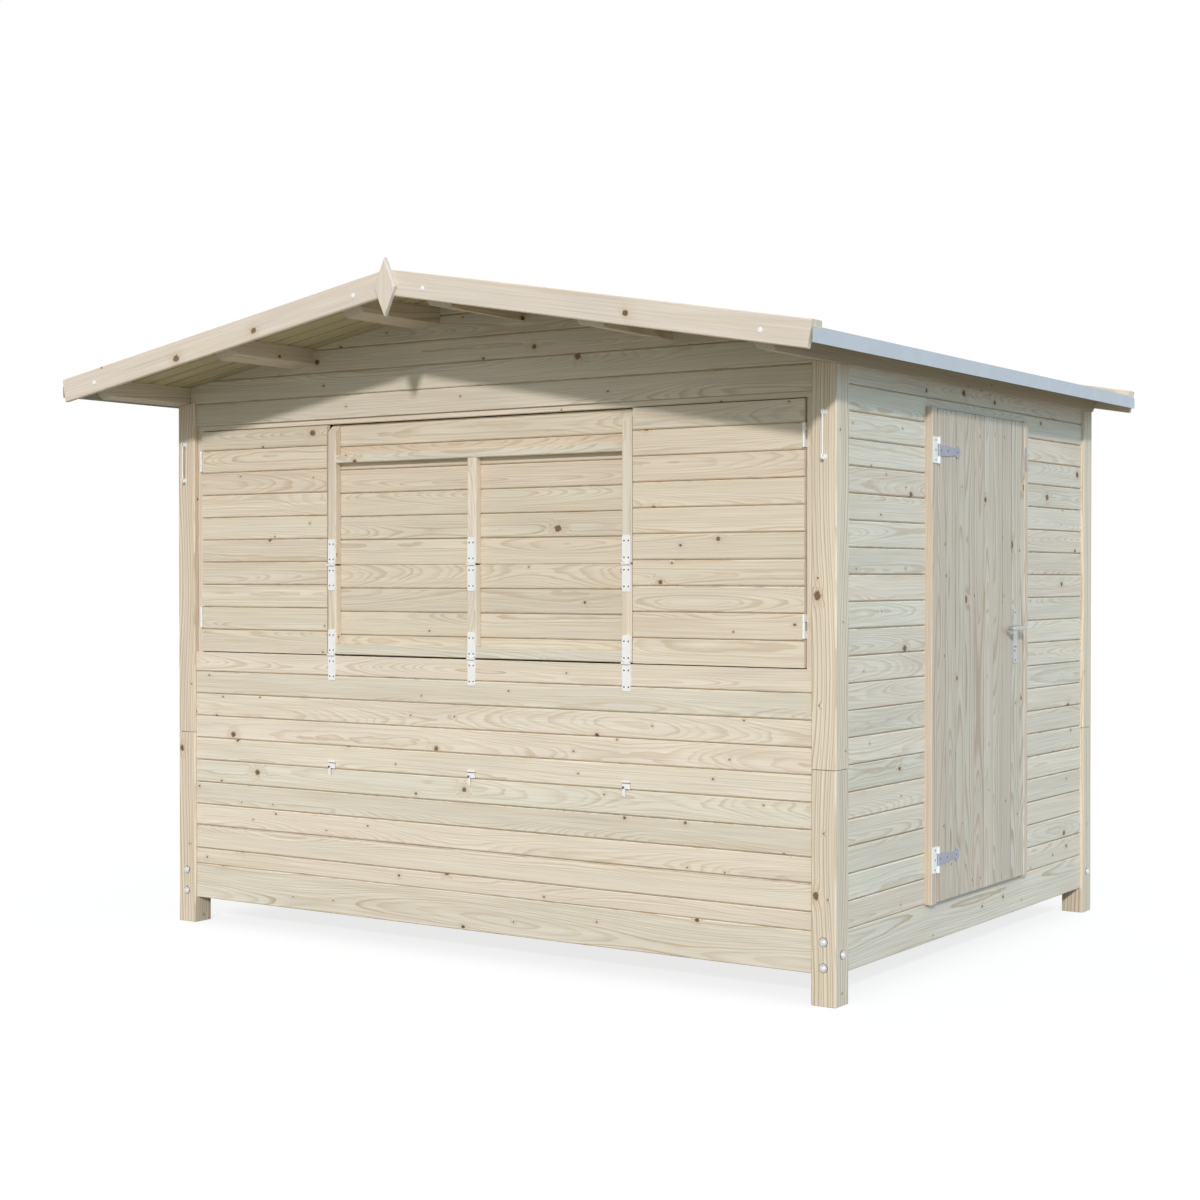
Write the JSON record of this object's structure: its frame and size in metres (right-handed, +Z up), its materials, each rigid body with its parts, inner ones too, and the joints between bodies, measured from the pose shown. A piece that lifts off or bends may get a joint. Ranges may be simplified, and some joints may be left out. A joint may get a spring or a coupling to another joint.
{
  "type": "wooden market hut",
  "caption": "Wooden market hut on corner posts, with a gable front, a serving hatch of side wings and a fold-down counter, and a ledged side door.",
  "frame": {"origin": "on the ground, in the middle of the outline of roof and finial", "axes": "+X along the front to the right, +Y from the hatch to the rear wall, +Z up"},
  "size_m": [3.251, 2.824, 2.4569],
  "materials": {
    "spruce": "planed untreated spruce, pale cream",
    "zinc": "bright zinc plated steel",
    "drip_metal": "grey-blue galvanised sheet",
    "felt": "dark grey mineral roofing felt"
  },
  "bodies": {
    "hut": {"lower_posts": "spruce", "upper_posts": "spruce", "end_base_beams": "spruce", "side_base_beams": "spruce", "floor_bearers": "spruce", "floor_boards": "spruce", "front_lower_wall": "spruce", "front_gable": "spruce", "rear_wall": "spruce", "left_wall": "spruce", "right_front_wall": "spruce", "right_rear_wall": "spruce", "door_header": "spruce", "hatch_jambs": "spruce", "hatch_head": "spruce", "door_stiles": "spruce", "ridge_purlins": "spruce", "middle_purlins": "spruce", "eave_purlins": "spruce", "left_roof_deck": "spruce", "right_roof_deck": "spruce", "left_roof_felt": "felt", "right_roof_felt": "felt", "drip_strips": "drip_metal", "left_barge_boards": "spruce", "right_barge_boards": "spruce", "left_edge_battens": "spruce", "right_edge_battens": "spruce", "finial": "spruce", "fixed_hinge_leaves": "zinc", "cabin_hooks": "zinc", "turn_hooks": "zinc"},
    "door": {"door_leaf": "spruce", "door_ledges": "spruce", "door_hinge_straps": "zinc", "door_handle": "zinc"},
    "left_wing": {"left_wing_boards": "spruce", "left_wing_ledges": "spruce", "left_wing_hinges": "zinc"},
    "right_wing": {"right_wing_boards": "spruce", "right_wing_ledges": "spruce", "right_wing_hinges": "zinc"},
    "counter": {"counter_boards": "spruce", "counter_battens": "spruce", "counter_hinges": "zinc"},
    "prop": {"prop_boards": "spruce", "prop_battens": "spruce", "prop_hinges": "zinc"}
  },
  "joints": [
    {"name": "door_hinge", "type": "hinge", "parent": "hut", "child": "door", "pos_m": [1.489, -0.203, 1.184], "axis": [0, 0, -1], "range_deg": [0, 110]},
    {"name": "left_wing_hinge", "type": "hinge", "parent": "hut", "child": "left_wing", "pos_m": [-1.349, -0.932, 1.08], "axis": [0, 0, -1], "range_deg": [0, 90]},
    {"name": "right_wing_hinge", "type": "hinge", "parent": "hut", "child": "right_wing", "pos_m": [1.349, -0.932, 1.08], "axis": [0, 0, 1], "range_deg": [0, 90]},
    {"name": "counter_hinge", "type": "hinge", "parent": "hut", "child": "counter", "pos_m": [0, -0.932, 1.08], "axis": [1, 0, 0], "range_deg": [0, 90]},
    {"name": "prop_hinge", "type": "hinge", "parent": "counter", "child": "prop", "pos_m": [0, -0.932, 1.42], "axis": [1, 0, 0], "range_deg": [0, 126]}
  ]
}
